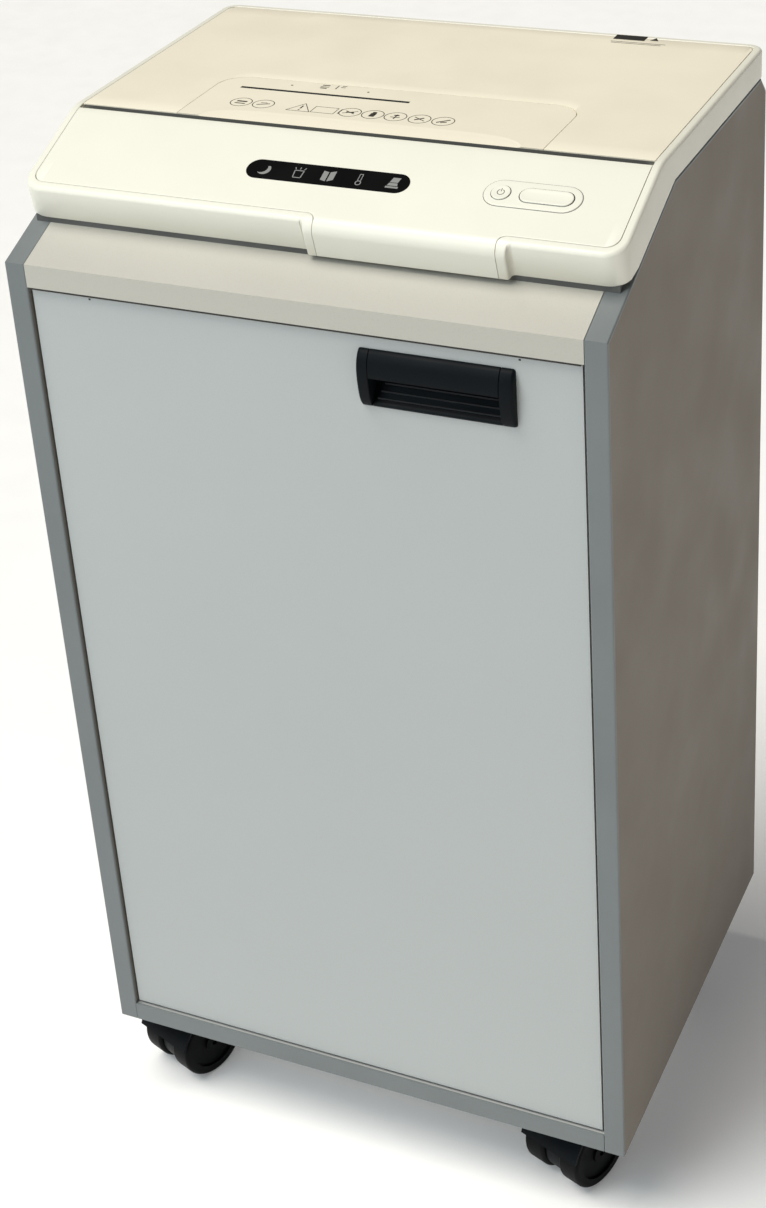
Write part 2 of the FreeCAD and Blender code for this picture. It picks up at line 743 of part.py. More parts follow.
def stripper(y, finger_y, first, count):
    """A bar outside one cutter, with a finger in each gap between its discs."""
    bar = block("-frame_inner", y, "nip_z - 10", "2*frame_inner", "4", "20")
    fingers = [block("%s + %d*disc_pitch - cutter_half" % (first, index), finger_y, "nip_z - 2",
                     "disc_pitch - disc_width - 1.2", "8.5", "4") for index in range(count)]
    return join(bar, *fingers)


node("stripper_front", stripper(FRONT_Y + " - cutter_radius - 5", FRONT_Y + " - cutter_radius - 2",
                                "2.7 + disc_width + 0.6", 24))
node("stripper_rear", stripper(REAR_Y + " + cutter_radius + 1", REAR_Y + " + cutter_radius - 6.5",
                               "7.7 + disc_width + 0.6", 23))


def roll(base, radius):
    """The involute function, at this radius, of a gear with this base circle."""
    pressure = math.acos(base / radius)
    return math.tan(pressure) - pressure


def gear_shape(teeth, module, bore, width, phase, backlash=0.24):
    """A spur gear about +X from x = 0: involute flanks, with a bore that fits its shaft."""
    pitch_radius = module * teeth / 2
    base = pitch_radius * math.cos(math.radians(20))
    root = pitch_radius - 1.25 * module
    tip = pitch_radius + 0.95 * module
    half = math.pi / (2 * teeth) - backlash / (2 * pitch_radius) + roll(base, pitch_radius)
    low = max(base, root) * 1.0005
    radii = [low + (tip - low) * step / 3 for step in range(4)]
    flank = [(radius, half - roll(base, radius)) for radius in radii]
    side = ([(root, flank[0][1])] if root < low - 0.05 else []) + flank
    points = []
    for tooth in range(teeth):
        centre = phase + 2 * math.pi * tooth / teeth
        for radius, angle in [(r, -a) for r, a in side] + side[::-1]:
            points.append(Vector(0, radius * math.cos(centre + angle), radius * math.sin(centre + angle)))
    face = Part.Face(Part.makePolygon(points + points[:1]))
    solid = face.extrude(Vector(width, 0, 0))
    return solid.cut(Part.makeCylinder(bore, width + 2, Vector(-1, 0, 0), Vector(1, 0, 0)))


def gear(label, shape, x, y, z):
    thing = doc.addObject("Part::Feature", label)
    thing.Shape = shape
    place(thing, x, y, z)
    return node(label, thing)


# Teeth: the two cutter gears are equal; the motor drives them through two 4:1 steps.
CUTTER_TEETH = 22
WHEEL_TEETH = 56
PINION_TEETH = 14
SHAFT = size("shaft_radius")
THIN = SHAFT - 4
COUNTER = size("counter_radius")
final_angle = math.atan2(-17.96, 49.33)
motor_angle = math.atan2(-21.88, 37.89)
GEAR_X = "frame_inner + frame_plate + 6"
gear("cutter_gear_front", gear_shape(CUTTER_TEETH, 2, SHAFT, 11, 0), GEAR_X, FRONT_Y, "nip_z")
gear("cutter_gear_rear", gear_shape(CUTTER_TEETH, 2, SHAFT, 11, math.pi + math.pi / CUTTER_TEETH),
     GEAR_X, REAR_Y, "nip_z")
gear("final_gear", gear_shape(WHEEL_TEETH, 1.5, SHAFT, 10, final_angle), "frame_inner + 31", REAR_Y, "nip_z")
pinion = gear_shape(PINION_TEETH, 1.5, COUNTER, 12, final_angle + math.pi + math.pi / PINION_TEETH)
wheel = gear_shape(WHEEL_TEETH, 1.25, COUNTER, 9, motor_angle)
wheel.translate(Vector(14, 0, 0))
hub = Part.makeCylinder(COUNTER + 3, 2.2, Vector(11.9, 0, 0), Vector(1, 0, 0))
hub = hub.cut(Part.makeCylinder(COUNTER, 4, Vector(11, 0, 0), Vector(1, 0, 0)))
gear("compound_gear", pinion.fuse(hub).fuse(wheel), "frame_inner + 30", COUNTER_Y, COUNTER_Z)
gear("motor_pinion", gear_shape(PINION_TEETH, 1.25, 4, 11, motor_angle + math.pi + math.pi / PINION_TEETH),
     "frame_inner + 43", MOTOR_Y, MOTOR_Z)
node("countershaft", rod("frame_inner", COUNTER_Y, COUNTER_Z, "counter_radius", "67"))
can = rod("frame_inner - motor_length", MOTOR_Y, MOTOR_Z, "motor_radius", "motor_length")
node("motor", cut(can, rod("frame_inner - 60", MOTOR_Y, MOTOR_Z, "4 + fit_gap", "61")))
node("motor_shaft", rod("frame_inner - 58", MOTOR_Y, MOTOR_Z, "4", "116"))

# the shreds fall through a chute and the shelf's opening into the bin
chute_outer = block("0.5 - frame_inner", "nip_y - 35", PLATE_Z, "2*frame_inner - 1", "70",
                    "nip_z - 27 - shelf_z - board")
chute_inner = block("-cutter_half + 1", "nip_y - 32", PLATE_Z + " - 1", "2*cutter_half - 2", "64", "140")
node("shred_chute", cut(chute_outer, chute_inner))
bin_outer = block("-180", "30", "board", "360", "292", "484")
bin_inner = block("-177", "33", "board + 3", "354", "286", "500")
node("waste_bin", cut(bin_outer, bin_inner))

# ---------------------------------------------------------------- mains side

back_face = "depth - back_inset"
node("power_board", block("-185", "215", PLATE_Z + " + 8", "110", "90", "1.6"))
node("board_posts", group(*[rod(x, y, PLATE_Z, "3", "8", "z")
                            for x in ("-178", "-82") for y in ("222", "298")]))
inlet_body = block("-164", "depth - 24", "90", "48", "24", "28")
inlet_socket = block("-152.5", "depth - 15", "95.5", "25", "20", "17")
inlet_pins = [block(x, "depth - 18", z, "2", "12", "4")
              for x, z in (("-147", "99"), ("-135", "99"), ("-141", "105"))]
node("mains_inlet", join(cut(inlet_body, inlet_socket), *inlet_pins))
switch_body = block("-102", "depth - 20", "90", "22", "20", "28")
node("switch_housing", cut(switch_body, block("-98", "depth - 17", "93", "14", "20", "22"),
                           rod("-100.5", "depth - 9", "104", "1.55", "19")))
rocker = prism([("depth - 12", "95.5"), ("depth - 1", "95.2"), ("depth - 2.7", "104"),
                ("depth - 4.3", "112.8"), ("depth - 12", "112.5")], "-97.6", "13.2")
node("mains_rocker", join(rocker, rod("-100", "depth - 9", "104", "1.5", "18")))

screw_spots = [(x, z) for x in ("-190", "0", "190") for z in ("30", "300", "560")]
screws = [join(rod(x, back_face + " - board", z, "1.75", "board", "y"),
               rod(x, back_face, z, "3.5", "1.6", "y")) for x, z in screw_spots]
node("back_screws", group(*screws))
screw_holes = [rod(x, back_face + " - board - 1", z, "1.75", "board + 2", "y") for x, z in screw_spots]
back_holes = [block("-164", "300", "90", "48", "60", "28"), block("-102", "300", "90", "22", "60", "28")]
back = block("board - width/2", "depth - back_inset - board", "board", "width - 2*board", "board",
             "flat_height - board - band")
node("back_panel", cut(back, *(back_holes + screw_holes)))

# ---------------------------------------------------------------- casters

CASTER_SPOTS = {
    "front_left": ("-caster_x", "caster_y"),
    "front_right": ("caster_x", "caster_y"),
    "rear_left": ("-caster_x", "depth - caster_y"),
    "rear_right": ("caster_x", "depth - caster_y"),
}


def own_block(x, y, z, length, width, tall):
    """A box in a caster's own frame, with the stem on Z and the floor at zero."""
    box = doc.addObject("Part::Box", "block")
    bind(box, "Length", length)
    bind(box, "Width", width)
    bind(box, "Height", tall)
    bind(box, "Placement.Base.x", x)
    bind(box, "Placement.Base.y", y)
    bind(box, "Placement.Base.z", z)
    return box


def own_rod(x, y, z, radius, length, turn):
    cylinder = doc.addObject("Part::Cylinder", "rod")
    cylinder.Placement = Placement(Vector(), turn)
    bind(cylinder, "Radius", radius)
    bind(cylinder, "Height", length)
    bind(cylinder, "Placement.Base.x", x)
    bind(cylinder, "Placement.Base.y", y)
    bind(cylinder, "Placement.Base.z", z)
    return cylinder


ALONG_X = Rotation(Vector(0, 1, 0), 90)
UPRIGHT = Rotation()


def on_caster(thing, x, y):
    """Set a finished caster piece at its stem, swivelled as the casters stand."""
    thing.Placement = Placement(Vector(), Rotation(Vector(0, 0, 1), size("swivel_rest")))
    bind(thing, "Placement.Base.x", x)
    bind(thing, "Placement.Base.y", across(y))
    return thing


def caster_plate(x, y):
    plate = own_block("-21", "-21", "base_z - 2.5", "42", "42", "2.5")
    stem = own_rod("0", "0", "base_z - 19", "stem_radius", "17", UPRIGHT)
    thing = join(plate, stem)
    bind(thing, "Placement.Base.x", x)
    bind(thing, "Placement.Base.y", across(y))
    return thing


def caster_hood():
    """The body between the twin wheels, with its axle, its stem socket and a cover over the treads."""
    half = "wheel_inner + wheel_width + 0.4"
    shell = cut(own_rod("-(%s)" % half, "-trail", "wheel_radius", "wheel_radius + 4.4", "2*(%s)" % half,
                        ALONG_X),
                own_rod("-40", "-trail", "wheel_radius", "wheel_radius + 2", "80", ALONG_X))
    cover = common(shell, own_block("-40", "-trail - 40", "wheel_radius + 11", "80", "80", "40"))
    web = own_rod("1 - wheel_inner", "-trail", "wheel_radius", "wheel_radius - 3", "2*wheel_inner - 2", ALONG_X)
    boss = own_rod("0", "0", "wheel_radius + 14", "wheel_inner - 1.7", "base_z - wheel_radius - 17", UPRIGHT)
    rib = own_block("-3", "-trail - 3", "wheel_radius + 20", "6", "6", "14")
    bore = own_rod("0", "0", "base_z - 19.5", "stem_radius + fit_gap", "30", UPRIGHT)
    axle = own_rod("2 - wheel_inner - wheel_width", "-trail", "wheel_radius", "axle_radius",
                   "2*(wheel_inner + wheel_width - 2)", ALONG_X)
    return cut(join(cover, web, boss, rib, axle), bore)


def caster_wheel(start, recess):
    """One of the twin wheels, its tread edges rounded and its outer face dished."""
    blank = own_rod(start, "-trail", "wheel_radius", "wheel_radius", "wheel_width", ALONG_X)
    doc.recompute()
    rims = [i + 1 for i, edge in enumerate(blank.Shape.Edges) if edge.BoundBox.XLength < 0.01]
    fillet = doc.addObject("Part::Fillet", "fillet")
    fillet.Base = blank
    fillet.Edges = [(index, 3.0, 3.0) for index in rims]
    dish = cut(own_rod(recess, "-trail", "wheel_radius", "wheel_radius - 8", "2", ALONG_X),
               own_rod(recess + " - 1", "-trail", "wheel_radius", "9", "4", ALONG_X))
    bore = own_rod("-40", "-trail", "wheel_radius", "axle_radius + fit_gap", "80", ALONG_X)
    return cut(fillet, dish, bore)


node("caster_plates", group(*[caster_plate(x, y) for x, y in CASTER_SPOTS.values()]))
for spot, (x, y) in CASTER_SPOTS.items():
    node("caster_hood_" + spot, on_caster(caster_hood(), x, y))
    wheels = group(caster_wheel("wheel_inner", "wheel_inner + wheel_width - 2"),
                   caster_wheel("-wheel_inner - wheel_width", "-wheel_inner - wheel_width"))
    node("caster_wheels_" + spot, on_caster(wheels, x, y))

# ---------------------------------------------------------------- check and write

doc.recompute()
for thing in doc.Objects:
    bad = [state for state in thing.State if state in ("Invalid", "Error")]
    if bad:
        raise RuntimeError("%s (%s) failed: %s" % (thing.Name, thing.Label, bad))
for thing in NODES:
    if thing.Shape.isNull() or not thing.Shape.isValid():
        raise RuntimeError("%s has no valid shape" % thing.Label)

os.makedirs("parts", exist_ok=True)
for thing in NODES:
    thing.Shape.exportStep("parts/%s.step" % thing.Label)
    bounds = thing.Shape.BoundBox
    print("%-26s %2d solids  x %7.1f %7.1f  y %7.1f %7.1f  z %7.1f %7.1f" % (
        thing.Label, len(thing.Shape.Solids), bounds.XMin, bounds.XMax, bounds.YMin, bounds.YMax,
        bounds.ZMin, bounds.ZMax))
print(len(NODES), "nodes")
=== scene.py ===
import math

import bmesh
import bpy
from mathutils import Matrix, Vector


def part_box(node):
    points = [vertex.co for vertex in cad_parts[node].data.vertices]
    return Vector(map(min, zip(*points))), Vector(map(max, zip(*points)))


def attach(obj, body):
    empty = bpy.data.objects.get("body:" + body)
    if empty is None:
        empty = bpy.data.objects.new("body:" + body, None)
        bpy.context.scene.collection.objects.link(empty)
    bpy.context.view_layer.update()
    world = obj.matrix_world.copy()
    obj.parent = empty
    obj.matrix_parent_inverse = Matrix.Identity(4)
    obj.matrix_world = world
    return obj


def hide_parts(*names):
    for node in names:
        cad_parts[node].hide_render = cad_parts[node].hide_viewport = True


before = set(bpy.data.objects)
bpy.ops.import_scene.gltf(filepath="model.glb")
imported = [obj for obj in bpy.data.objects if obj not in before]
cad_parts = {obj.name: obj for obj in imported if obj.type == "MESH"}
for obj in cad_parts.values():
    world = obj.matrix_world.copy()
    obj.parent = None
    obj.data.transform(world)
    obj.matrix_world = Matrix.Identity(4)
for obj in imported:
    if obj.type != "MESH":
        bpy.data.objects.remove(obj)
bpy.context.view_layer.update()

# Sizes below are in millimetres, y counted back from the cabinet's front edge and z up from its underside.
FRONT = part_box("edge_bands")[0].y
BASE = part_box("bottom_board")[0].z


def at(x, y, z):
    """A point of the cabinet, in metres in the frame."""
    return Vector((x / 1000, FRONT + y / 1000, BASE + z / 1000))


# ---------------------------------------------------------------- camera

def make_camera():
    """The camera: to the right of the front and above it, rolled a little, the picture shifted down the object."""
    azimuth, elevation, roll = math.radians(26.3), math.radians(27.4), math.radians(-4.17)
    ahead = Vector((-math.sin(azimuth) * math.cos(elevation), math.cos(azimuth) * math.cos(elevation),
                    -math.sin(elevation)))
    level = ahead.cross(Vector((0, 0, 1))).normalized()
    upright = level.cross(ahead)
    right = math.cos(roll) * level + math.sin(roll) * upright
    up = right.cross(ahead)
    data = bpy.data.cameras.new("camera")
    data.sensor_width = 36
    data.lens = 66.2781457
    data.shift_y = -0.1688742
    data.clip_end = 50
    camera = bpy.data.objects.new("camera", data)
    turn = Matrix((right, up, -ahead)).transposed()
    camera.matrix_world = Matrix.Translation(Vector((0.636, -1.331, 1.361))) @ turn.to_4x4()
    bpy.context.scene.collection.objects.link(camera)
    bpy.context.scene.camera = camera


make_camera()

# ---------------------------------------------------------------- materials


def node_material(name, colour, roughness):
    """A material with its tree and its shader, the constant values already on the shader's sockets."""
    material = bpy.data.materials.new(name)
    material.use_nodes = True
    tree = material.node_tree
    shader = tree.nodes["Principled BSDF"]
    shader.inputs["Base Color"].default_value = (*colour, 1)
    shader.inputs["Roughness"].default_value = roughness
    return material, tree, shader


def noise(tree, scale, detail=2.0, stretch=(1, 1, 1)):
    """A noise pattern fixed to the piece, as a socket."""
    place = tree.nodes.new("ShaderNodeTexCoord")
    mapping = tree.nodes.new("ShaderNodeMapping")
    mapping.inputs["Scale"].default_value = stretch
    texture = tree.nodes.new("ShaderNodeTexNoise")
    texture.inputs["Scale"].default_value = scale
    texture.inputs["Detail"].default_value = detail
    tree.links.new(place.outputs["Object"], mapping.inputs["Vector"])
    tree.links.new(mapping.outputs["Vector"], texture.inputs["Vector"])
    return texture.outputs["Fac"]


def ramp(tree, value, low, high, spread=(0.35, 0.65)):
    """Colours or greys between low and high as value crosses the spread."""
    blend = tree.nodes.new("ShaderNodeValToRGB")
    blend.color_ramp.elements[0].position = spread[0]
    blend.color_ramp.elements[1].position = spread[1]
    blend.color_ramp.elements[0].color = (*low, 1)
    blend.color_ramp.elements[1].color = (*high, 1)
    tree.links.new(value, blend.inputs["Fac"])
    return blend.outputs["Color"]


def bumped(tree, shader, height, strength, distance):
    """Turns a pattern into relief on the shader's normal."""
    bump = tree.nodes.new("ShaderNodeBump")
    bump.inputs["Strength"].default_value = strength
    bump.inputs["Distance"].default_value = distance
    tree.links.new(height, bump.inputs["Height"])
    tree.links.new(bump.outputs["Normal"], shader.inputs["Normal"])


def shade(colour, factor):
    """The colour made lighter or darker."""
    return tuple(channel * factor for channel in colour)


def surface(name, colour, roughness, grain, depth, mottle=0.04, stretch=(1, 1, 1), gloss=0.5, metallic=0.0):
    """Moulded or coated surface: a fine grain in the bump, and slow changes of tone and gloss."""
    material, tree, shader = node_material(name, colour, roughness)
    shader.inputs["Metallic"].default_value = metallic
    shader.inputs["Specular IOR Level"].default_value = gloss
    slow = noise(tree, 9, 4.0)
    tone = ramp(tree, slow, shade(colour, 1 - mottle), shade(colour, 1 + mottle))
    tree.links.new(tone, shader.inputs["Base Color"])
    rubbed = ramp(tree, noise(tree, 22, 3.0), (roughness * 0.88,) * 3, (roughness * 1.12,) * 3)
    tree.links.new(rubbed, shader.inputs["Roughness"])
    bumped(tree, shader, noise(tree, grain, 2.0, stretch), 0.5, depth)
    return material


def laminate(name, colour, roughness=0.36, gloss=0.5):
    """Melamine-faced board: an even tone with a faint speckle and a soft pebbled surface."""
    material, tree, shader = node_material(name, colour, roughness)
    shader.inputs["Specular IOR Level"].default_value = gloss
    cloud = ramp(tree, noise(tree, 3.2, 5.0), shade(colour, 0.985), shade(colour, 1.012), (0.3, 0.7))
    speck = ramp(tree, noise(tree, 900, 1.0), (0.955,) * 3, (1.0,) * 3, (0.30, 0.42))
    mix = tree.nodes.new("ShaderNodeMix")
    mix.data_type = "RGBA"
    mix.blend_type = "MULTIPLY"
    mix.inputs["Factor"].default_value = 1.0
    tree.links.new(cloud, mix.inputs[6])
    tree.links.new(speck, mix.inputs[7])
    tree.links.new(mix.outputs[2], shader.inputs["Base Color"])
    rubbed = ramp(tree, noise(tree, 14, 4.0), (roughness * 0.9,) * 3, (roughness * 1.15,) * 3)
    tree.links.new(rubbed, shader.inputs["Roughness"])
    bumped(tree, shader, noise(tree, 420, 3.0), 0.35, 0.00012)
    return material


MATERIALS = {
    "door": laminate("door_laminate", (0.46, 0.485, 0.48)),
    "rail": laminate("rail_laminate", (0.51, 0.49, 0.435)),
    # side and back panels: a laminate made darker than their own light grey-beige, painted shade of the side turned
    # away from the lamps
    "side": laminate("side_laminate_painted_shade", (0.235, 0.207, 0.176), 0.6, 0.2),
    "inner": laminate("inner_laminate", (0.42, 0.42, 0.41)),
    "band": surface("edge_band", (0.17, 0.188, 0.192), 0.42, 700, 0.0001),
    "cream": surface("cream_moulding", (0.83, 0.81, 0.71), 0.40, 1500, 0.00008, 0.015),
    "cream_top": surface("cream_top", (0.89, 0.82, 0.67), 0.46, 1500, 0.00008, 0.015),
    "groove": surface("groove_moulding", (0.055, 0.055, 0.05), 0.55, 900, 0.0001),
    "lip": surface("slot_lip_painted_shade", (0.16, 0.155, 0.14), 0.5, 900, 0.0001),
    "line": surface("seam_shadow", (0.16, 0.155, 0.14), 0.8, 900, 0.0001),
    "black": surface("black_moulding", (0.0045, 0.0062, 0.008), 0.46, 1300, 0.00015, 0.12, gloss=0.07),
    "ridge": surface("ridge_moulding", (0.022, 0.024, 0.027), 0.34, 1300, 0.0001, 0.12, gloss=0.15),
    "nylon": surface("black_nylon", (0.0035, 0.0038, 0.0042), 0.5, 800, 0.00015, 0.15, gloss=0.06),
    "display": surface("display_gloss", (0.002, 0.002, 0.0022), 0.3, 60, 0.00001, 0.1, gloss=0.1),
    "icon": surface("display_icon", (0.24, 0.24, 0.235), 0.5, 900, 0.00005),
    "print": surface("printed_mark", (0.045, 0.04, 0.03), 0.6, 900, 0.00003, 0.1),
    # a dark print, also used for the strip of painted shadow in the gap above the door
    "dark_print_and_shadow": surface("dark_print_and_painted_shadow", (0.02, 0.018, 0.016), 0.6, 900, 0.00003, 0.1),
    "foam": surface("gasket_foam", (0.13, 0.13, 0.125), 0.95, 1200, 0.0006, 0.2),
    "steel": surface("turned_steel", (0.42, 0.42, 0.43), 0.30, 260, 0.00006, 0.05, (1, 12, 12), metallic=1.0),
    "sheet": surface("zinc_sheet", (0.46, 0.47, 0.48), 0.42, 70, 0.00008, 0.1, metallic=1.0),
    "cutter": surface("cutter_steel", (0.24, 0.24, 0.25), 0.34, 300, 0.0001, 0.12, (1, 9, 9), metallic=1.0),
    "gear": surface("gear_steel", (0.30, 0.29, 0.28), 0.44, 500, 0.0001, 0.12, metallic=1.0),
    "bronze": surface("bronze_bush", (0.48, 0.29, 0.11), 0.38, 500, 0.0001, 0.1, metallic=1.0),
    "motor": surface("motor_paint", (0.02, 0.022, 0.024), 0.40, 600, 0.0002, 0.1),
    "board": surface("circuit_board", (0.012, 0.10, 0.035), 0.40, 300, 0.0001, 0.15),
    "bin": surface("bin_moulding", (0.028, 0.029, 0.032), 0.48, 900, 0.0003, 0.12),
    "magnet": surface("catch_moulding", (0.55, 0.55, 0.53), 0.45, 900, 0.0001),
}

# the material of each node; the casters' hoods and wheels are left to the loop below
LOOKS = {
    "side_panel_left": "side", "side_panel_right": "side", "edge_bands": "band", "bottom_board": "inner",
    "back_panel": "side", "front_rail": "rail", "mechanism_shelf": "inner", "door_panel": "door",
    "hinge_bushes": "black", "hinge_pins": "steel", "pull_handle": "black", "catch_magnet": "magnet",
    "catch_plate": "sheet", "door_sensor": "black", "head_frame": "cream", "control_panel": "cream",
    "display_window": "display", "button_surround": "cream", "power_button": "cream", "feed_rocker": "cream",
    "control_circuit_board": "board", "top_panel": "cream_top", "feed_plate": "cream_top",
    "infeed_throat": "groove", "disc_throat": "groove", "head_gasket": "foam", "side_frame_left": "sheet",
    "side_frame_right": "sheet", "gearbox_plate": "sheet", "bearing_bushes": "bronze", "tie_rods": "steel",
    "cutter_front": "cutter", "cutter_rear": "cutter", "stripper_front": "sheet", "stripper_rear": "sheet",
    "cutter_gear_front": "gear", "cutter_gear_rear": "gear", "final_gear": "gear", "compound_gear": "gear",
    "motor_pinion": "gear", "countershaft": "steel", "motor": "motor", "motor_shaft": "steel",
    "shred_chute": "sheet", "waste_bin": "bin", "power_board": "board", "board_posts": "black",
    "mains_inlet": "black", "switch_housing": "black", "mains_rocker": "black", "back_screws": "steel",
    "caster_plates": "sheet",
}
for name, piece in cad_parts.items():
    look = LOOKS.get(name, "black" if "hood" in name else "nylon")
    piece.data.materials.clear()
    piece.data.materials.append(MATERIALS[look])

# ---------------------------------------------------------------- mesh helpers


def solid(name, points, faces, look, body, angle=32):
    """A piece from its points and faces, smooth but for edges sharper than angle; it rides body, if one is given."""
    mesh = bpy.data.meshes.new(name)
    mesh.from_pydata(points, [], faces)
    shape = bmesh.new()
    shape.from_mesh(mesh)
    bmesh.ops.remove_doubles(shape, verts=shape.verts, dist=1e-7)
    bmesh.ops.recalc_face_normals(shape, faces=shape.faces)
    shape.to_mesh(mesh)
    shape.free()
    mesh.shade_smooth()
    mesh.set_sharp_from_angle(angle=math.radians(angle))
    mesh.materials.append(MATERIALS[look])
    piece = bpy.data.objects.new(name, mesh)
    bpy.context.scene.collection.objects.link(piece)
    if body:
        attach(piece, body)
    return piece


def loft(name, loops, look, body, ring=False, angle=32):
    """A skin through closed loops of points; the ends are capped unless the loops form a ring."""
    count = len(loops[0])
    points = [point for loop in loops for point in loop]
    faces = []
    for index in range(len(loops) if ring else len(loops) - 1):
        first = index * count
        second = (index + 1) % len(loops) * count
        for step in range(count):
            following = (step + 1) % count
            faces.append((first + step, first + following, second + following, second + step))
    if not ring:
        faces.append(tuple(range(count)))
        faces.append(tuple(range(len(points) - count, len(points))))
    return solid(name, points, faces, look, body, angle)


def arc(centre, radius, start, end, steps):
    """Points of a circle's arc, angles in degrees."""
    angles = [math.radians(start + (end - start) * step / steps) for step in range(steps + 1)]
    return [(centre[0] + radius * math.cos(angle), centre[1] + radius * math.sin(angle)) for angle in angles]


# ---------------------------------------------------------------- the head's surface

HALF_WIDTH = 220
HEAD_FRONT = 31.0
HEAD_BACK = 349.0
RISE = 0.4  # of the sloped part of the top and of the cabinet's front, per mm of depth
SLOPE_FOOT = 717  # height of the top's slope, carried on to the cabinet's front edge
SLOPE_END, FLAT_START = 102, 118
FLAT_TOP = 761.0
SEAT_LEVEL, SEAT_FLAT = 685, 739.0  # the cabinet's top edge under the head: where its slope starts and ends
BEZEL = 6.0  # width of the frame round the panels
RIM = 2.6  # radius of the frame's outer edge
LEAN = 6.5  # how far the front skirt's foot lies behind its top
TAB = (0.0, 142.0)  # the part of the control panel that turns down over the front
TAB_PROUD = 4.5
TAB_RADIUS = 10.0
TAB_BACK = HEAD_FRONT + 7.0
TAB_GAP = 3.6  # from the tab's side to the frame's set-back edge
TAB_SUNK = 9
STRIP = 6.25  # width of the frame's strip down each side of the tab
SEAT_ROUND = 6.0


def top_height(y):
    """The head's top: a slope that rolls over into the flat part."""
    if y <= SLOPE_END:
        return SLOPE_FOOT + RISE * y
    if y < FLAT_START:
        return SLOPE_FOOT + RISE * y - RISE * (y - SLOPE_END) ** 2 / (2 * (FLAT_START - SLOPE_END))
    return FLAT_TOP


def skirt_foot(y):
    """The head's lower edge: it clears the sloped front board and follows the side panels."""
    gap = 0.5 + 4.3 * min(1, max(0, (54 - y) / 10))
    return min(SEAT_LEVEL + RISE * y, SEAT_FLAT) + gap


def head_outline():
    """Plan of the head: (x, y, outward x, outward y), counter-clockwise from the front's middle."""
    corners = [(205, HEAD_FRONT + 15, 15, -90), (208, HEAD_BACK - 12, 12, 0), (-208, HEAD_BACK - 12, 12, 90),
               (-205, HEAD_FRONT + 15, 15, 180)]
    points = []
    side_ys = [60, 75, 90, 98, 102, 105, 108, 111, 114, 118, 124, 135, 150, 220, 300]
    for number, (cx, cy, radius, start) in enumerate(corners):
        for x, y in arc((cx, cy), radius, start, start + 90, 10):
            points.append((x, y, (x - cx) / radius, (y - cy) / radius))
        if number == 0:
            points.extend((HALF_WIDTH, y, 1, 0) for y in side_ys)
        if number == 2:
            points.extend((-HALF_WIDTH, y, -1, 0) for y in side_ys[::-1])
    # behind the tab the frame's edge is set back and sunk, out of the tab's way
    points += [(TAB[0] - TAB_GAP, HEAD_FRONT, 0, -1), (TAB[0] - TAB_GAP + 0.05, TAB_BACK, 0, -1),
               (TAB[1] + TAB_GAP - 0.05, TAB_BACK, 0, -1), (TAB[1] + TAB_GAP, HEAD_FRONT, 0, -1)]
    return points


def head_section(x, y, out_x, out_y):
    """The frame's wall and bezel at one point of the outline, as a closed loop."""
    lean = LEAN * max(0, -out_y)
    sunk = TAB_SUNK if y == TAB_BACK else 0

    def at_depth(inward, height, shift=0):
        return (x - out_x * inward, y - out_y * inward + shift, height)

    foot = skirt_foot(y + lean)
    loop = [at_depth(3.0, foot, lean), at_depth(0.6, foot, lean), at_depth(0, foot + 0.6, lean)]
    rounding = [math.radians(angle) for angle in range(0, 91, 15)]
    edge = [(RIM * (1 - math.cos(angle)), RIM * (1 - math.sin(angle))) for angle in rounding]
    ledge = [(BEZEL - 0.35, 0), (BEZEL, 0.35), (BEZEL, 3.2), (BEZEL + 5, 3.2), (BEZEL + 5, 6.5), (3.2, 6.5)]
    for inward, drop in edge + ledge:
        spot = at_depth(inward, 0)
        loop.append((spot[0], spot[1], top_height(spot[1]) - sunk - drop))
    return [at(*point) for point in loop]


head = loft("head_frame_shell", [head_section(*spot) for spot in head_outline()], "cream", "cabinet", ring=True)
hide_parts("head_frame")


def nose_arc(nose, radius):
    """The arc that rounds the sloped top into the front face at nose: centre, angles, and the face's foot."""
    foot = (nose + LEAN, SEAT_LEVEL + RISE * (nose + LEAN) + 4.8)
    corner = Vector((nose, SLOPE_FOOT + RISE * nose))
    up = Vector((1, RISE)).normalized()
    down = (Vector(foot) - corner).normalized()
    spread = math.acos(up.dot(down)) / 2
    reach = radius / math.tan(spread)
    centre = corner + (up + down).normalized() * (radius / math.sin(spread))
    angles = [math.degrees(math.atan2(*(corner + way * reach - centre).yx)) % 360 for way in (down, up)]
    return centre, angles, foot


def nose_height(y, nose, radius):
    """The top's height at y, on the arc or on the slope behind it."""
    centre, angles, foot = nose_arc(nose, radius)
    if y >= centre.x + radius * math.cos(math.radians(angles[1])):
        return top_height(y)
    return centre.y + math.sqrt(max(0, radius ** 2 - (y - centre.x) ** 2))


def front_profile(nose, radius, back, thick, rows):
    """Side view of the head's front edge: foot, round nose and sloped top as far as back, with its inside."""
    centre, angles, foot = nose_arc(nose, radius)
    upper = arc(centre, radius, *angles, 12) + [(y, top_height(y)) for y in rows]
    end = (back - 0.3, nose_height(back - 0.3, nose, radius))
    level = nose_height(back, nose, radius)
    profile = [(foot[0] + 0.5, foot[1]), (foot[0], foot[1] + 0.5)]
    profile += [point if point[0] < end[0] else end for point in upper]
    profile += [(back - 0.1, level - 0.15), (back, level - 0.6), (back, level - thick)]
    inner_level = level - 5 if back < nose + 12 else SLOPE_FOOT + RISE * nose - 3
    profile += [(min(back, nose + 12) - 0.01, min(level, nose_height(nose + 12, nose, radius)) - thick),
                (min(back - 0.02, nose + 5), inner_level - thick), (foot[0] + min(thick, 3), foot[1])]
    return profile


def extrude(profile, x_start, x_end, name, look, body, angle=32):
    """A (y, z) outline drawn out along X."""
    loops = [[at(x, y, z) for y, z in profile] for x in (x_start, x_end)]
    return loft(name, loops, look, body, angle=angle)


def seat_edge(inward):
    """Where the frame's inner edge lies, at a distance in from the tab's side: it turns down round a corner."""
    over = min(SEAT_ROUND, inward - 0.25)
    return HEAD_FRONT + (BEZEL if over <= 0 else math.sqrt(SEAT_ROUND ** 2 - over ** 2))


